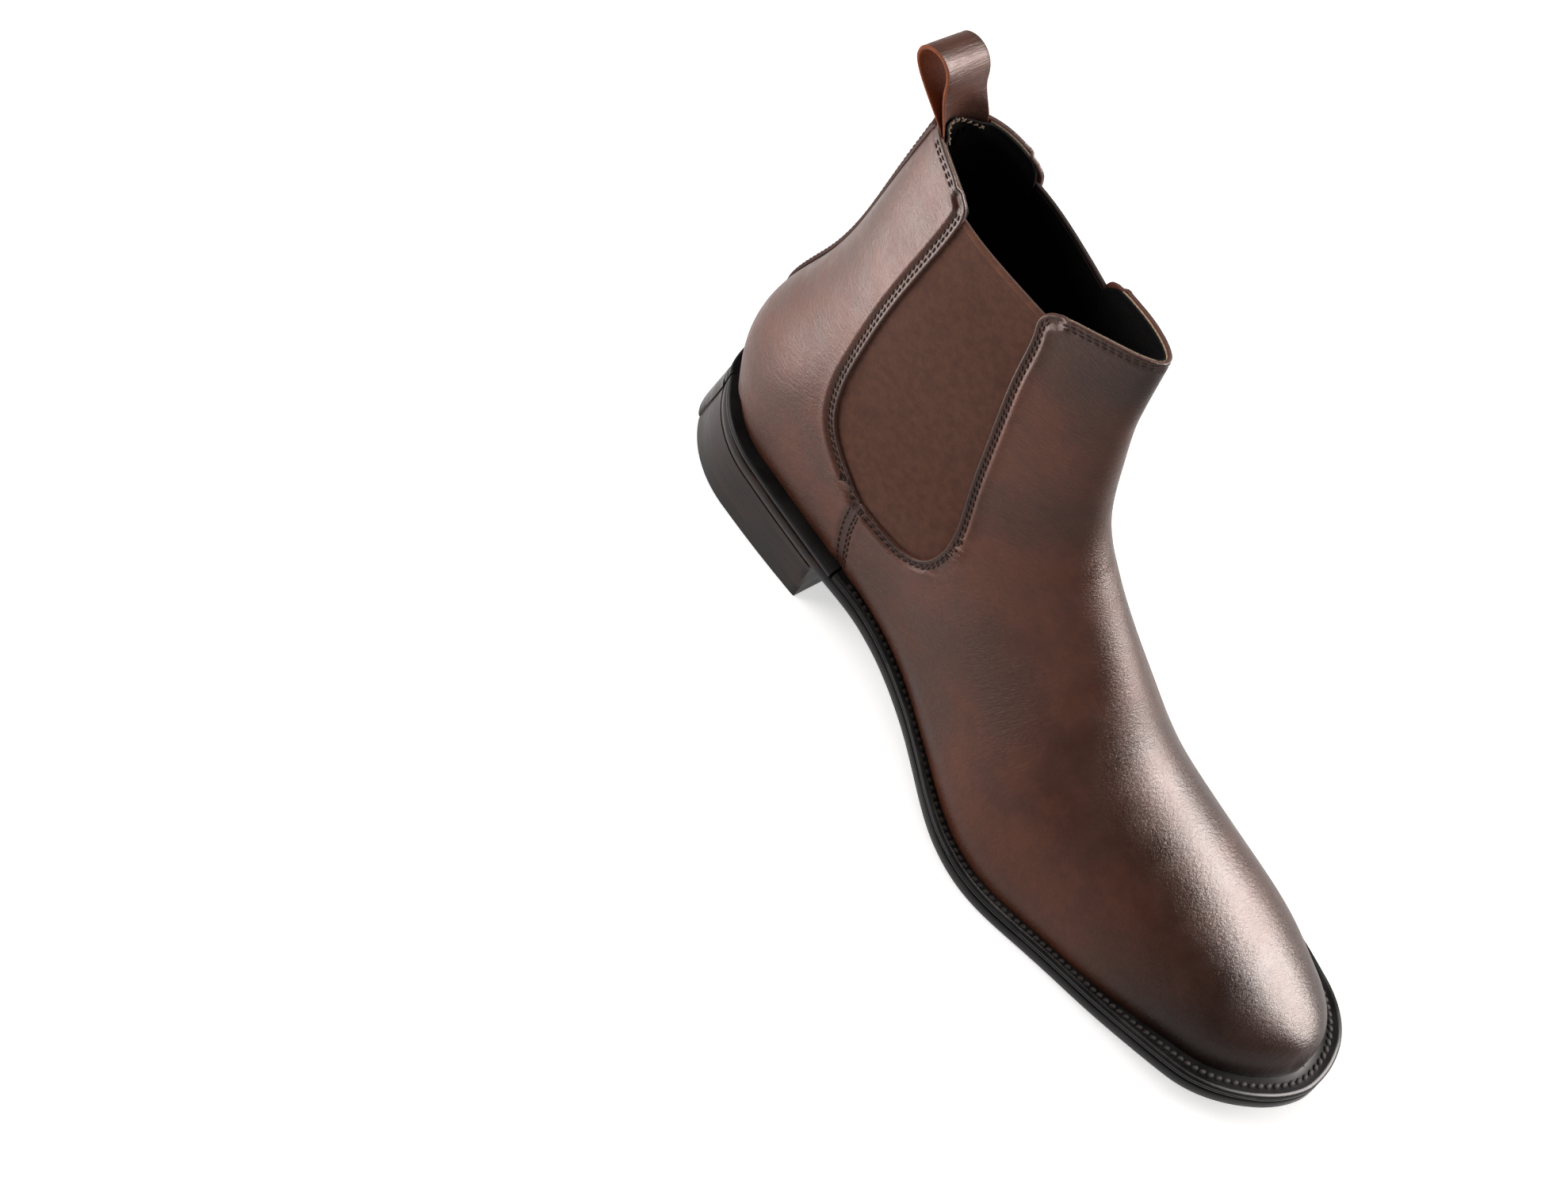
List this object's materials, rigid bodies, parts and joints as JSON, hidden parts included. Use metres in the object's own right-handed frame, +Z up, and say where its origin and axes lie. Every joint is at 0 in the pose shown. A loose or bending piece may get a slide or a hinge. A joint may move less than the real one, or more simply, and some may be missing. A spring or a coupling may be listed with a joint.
{
  "type": "chelsea boot",
  "caption": "Ankle boot with a plain leather vamp and quarters, elastic side gores, back pull tab, stitched welt and low stacked heel.",
  "frame": {"origin": "on the ground under the middle of the boot's bounding box", "axes": "+X from heel to toe, +Y to the medial (inner) side, +Z up"},
  "size_m": [0.3054, 0.0878, 0.2136],
  "materials": {
    "leather": "burnished dark brown, semi-gloss",
    "tab_leather": "brown, smooth outside and suede inside",
    "elastic": "matte woven brown",
    "lining": "matte black",
    "tape": "cream edge tape",
    "stiffener": "board",
    "insole": "plain",
    "cork": "granulated cork",
    "steel": "plain",
    "sole": "black satin edge",
    "heel": "black stacked layers",
    "top_piece": "matte black"
  },
  "bodies": {
    "boot": {"vamp": "leather", "quarter_lateral": "leather", "quarter_medial": "leather", "back_strip": "leather", "pull_tab_anchor": "tab_leather", "gore_lateral": "elastic", "gore_medial": "elastic", "vamp_lining": "lining", "quarter_lining_lateral": "lining", "quarter_lining_medial": "lining", "topline_tape_lateral": "tape", "topline_tape_medial": "tape", "topline_tape_front": "tape", "toe_puff": "stiffener", "heel_counter": "stiffener", "sock_lining": "lining", "insole_board": "insole", "cork_filler": "cork", "shank": "steel", "welt": "sole", "heel_rand": "sole", "outsole": "sole", "heel_lift_1": "heel", "heel_lift_2": "heel", "heel_lift_3": "heel", "heel_top_piece": "top_piece"},
    "pull_tab": {"pull_tab": "tab_leather"}
  },
  "joints": [
    {"name": "pull_tab_fold", "type": "hinge", "parent": "boot", "child": "pull_tab", "pos_m": [-0.1299, 0.00241, 0.1878], "axis": [0, 1, 0], "range_deg": [-28, 55], "stiffness_Nm_per_rad": 0.02}
  ]
}
